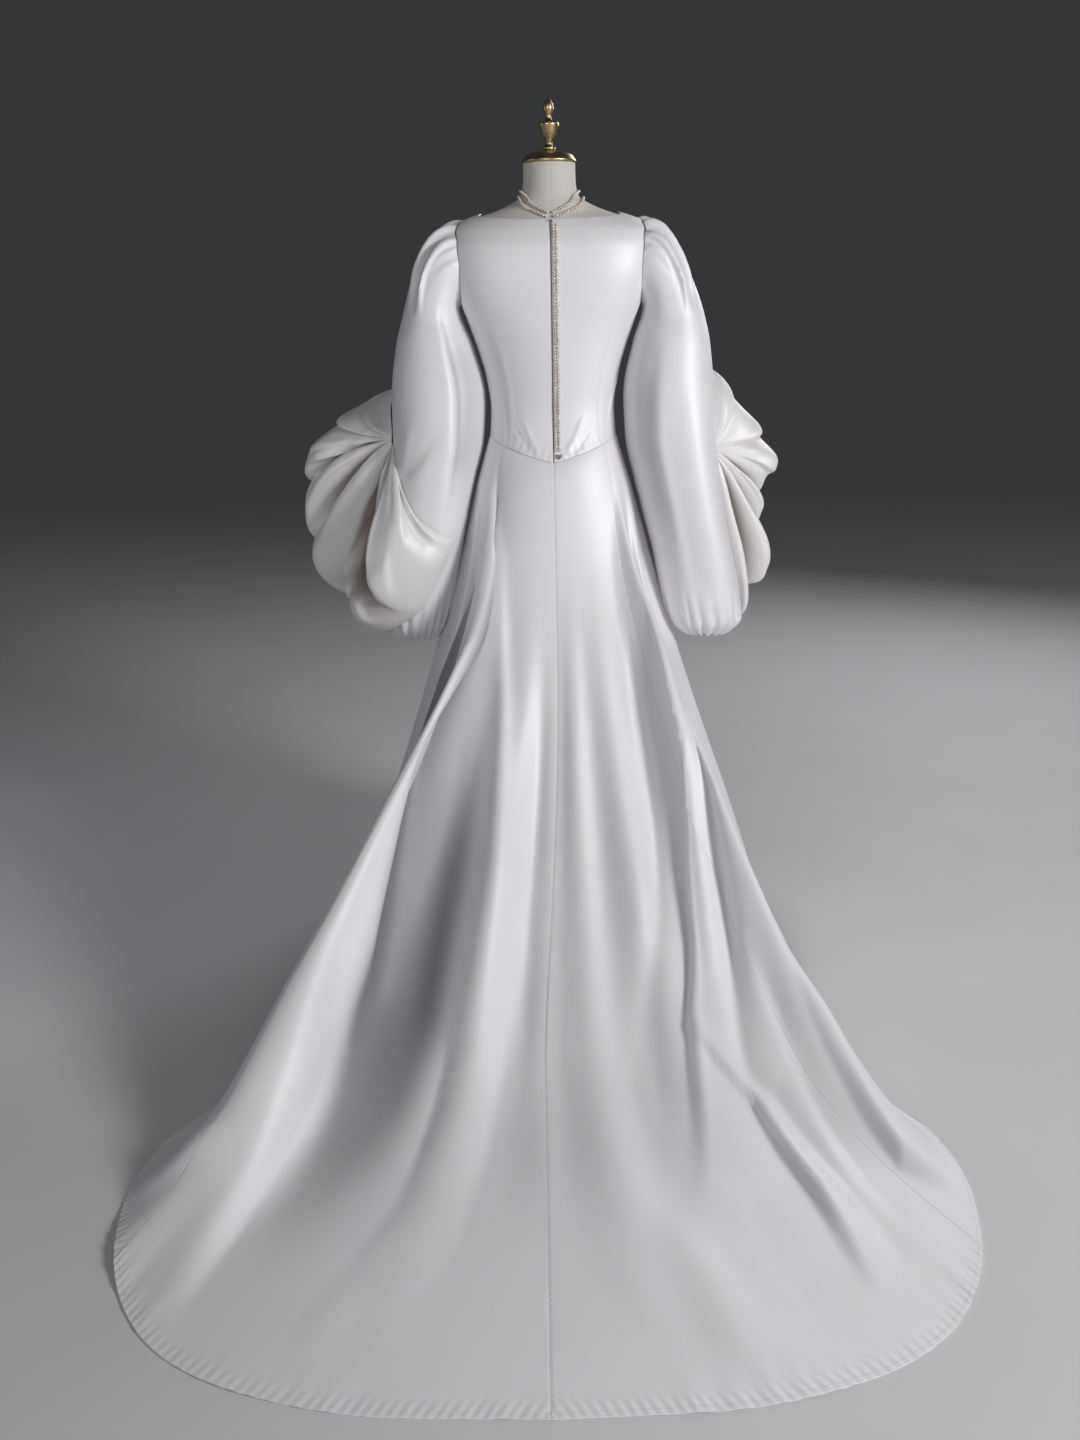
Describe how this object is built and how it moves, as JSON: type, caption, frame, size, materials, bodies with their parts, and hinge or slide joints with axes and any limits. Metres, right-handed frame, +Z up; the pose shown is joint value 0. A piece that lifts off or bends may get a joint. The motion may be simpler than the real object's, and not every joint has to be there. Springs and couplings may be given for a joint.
{
  "type": "wedding dress on dress form",
  "caption": "Long-sleeved satin wedding dress with gathered puffs over the forearms, a back zip, pearl strands and a train, worn by a limbless dress form on a pole and base.",
  "frame": {"origin": "middle of the underside of the dress form's base plate, on the floor", "axes": "+Z up, -Y the front of the dress, +Y the back where the train lies, +X the wearer's left"},
  "size_m": [1.2802, 1.9597, 1.6731],
  "materials": {
    "ivory_satin": "heavy duchess satin with a soft sheen",
    "form_linen": "tight woven cover, matt",
    "aged_brass": "aged, half polished",
    "stand_steel": "brushed",
    "pearl": "imitation pearl, soft lustre",
    "zip_tape": "woven nylon tape, matt",
    "dark_silver": "darkened silver plate"
  },
  "bodies": {
    "root": {"bodice_front": "ivory_satin", "bodice_back_left": "ivory_satin", "bodice_back_right": "ivory_satin", "skirt_front": "ivory_satin", "skirt_side_left": "ivory_satin", "skirt_side_right": "ivory_satin", "skirt_back_left": "ivory_satin", "skirt_back_right": "ivory_satin", "sleeve_left": "ivory_satin", "sleeve_right": "ivory_satin", "puff_left_1": "ivory_satin", "puff_left_2": "ivory_satin", "puff_left_3": "ivory_satin", "puff_right_1": "ivory_satin", "puff_right_2": "ivory_satin", "puff_right_3": "ivory_satin", "form_torso": "form_linen", "form_neck_cap": "aged_brass", "form_finial": "aged_brass", "form_pole": "stand_steel", "form_base": "stand_steel", "pearls_neck_left_low": "pearl", "pearls_neck_left_high": "pearl", "pearls_neck_right_low": "pearl", "pearls_neck_right_high": "pearl", "pearls_back_left": "pearl", "pearls_back_right": "pearl", "zip": "zip_tape", "hook": "dark_silver", "pendant": "dark_silver"}
  },
  "joints": []
}
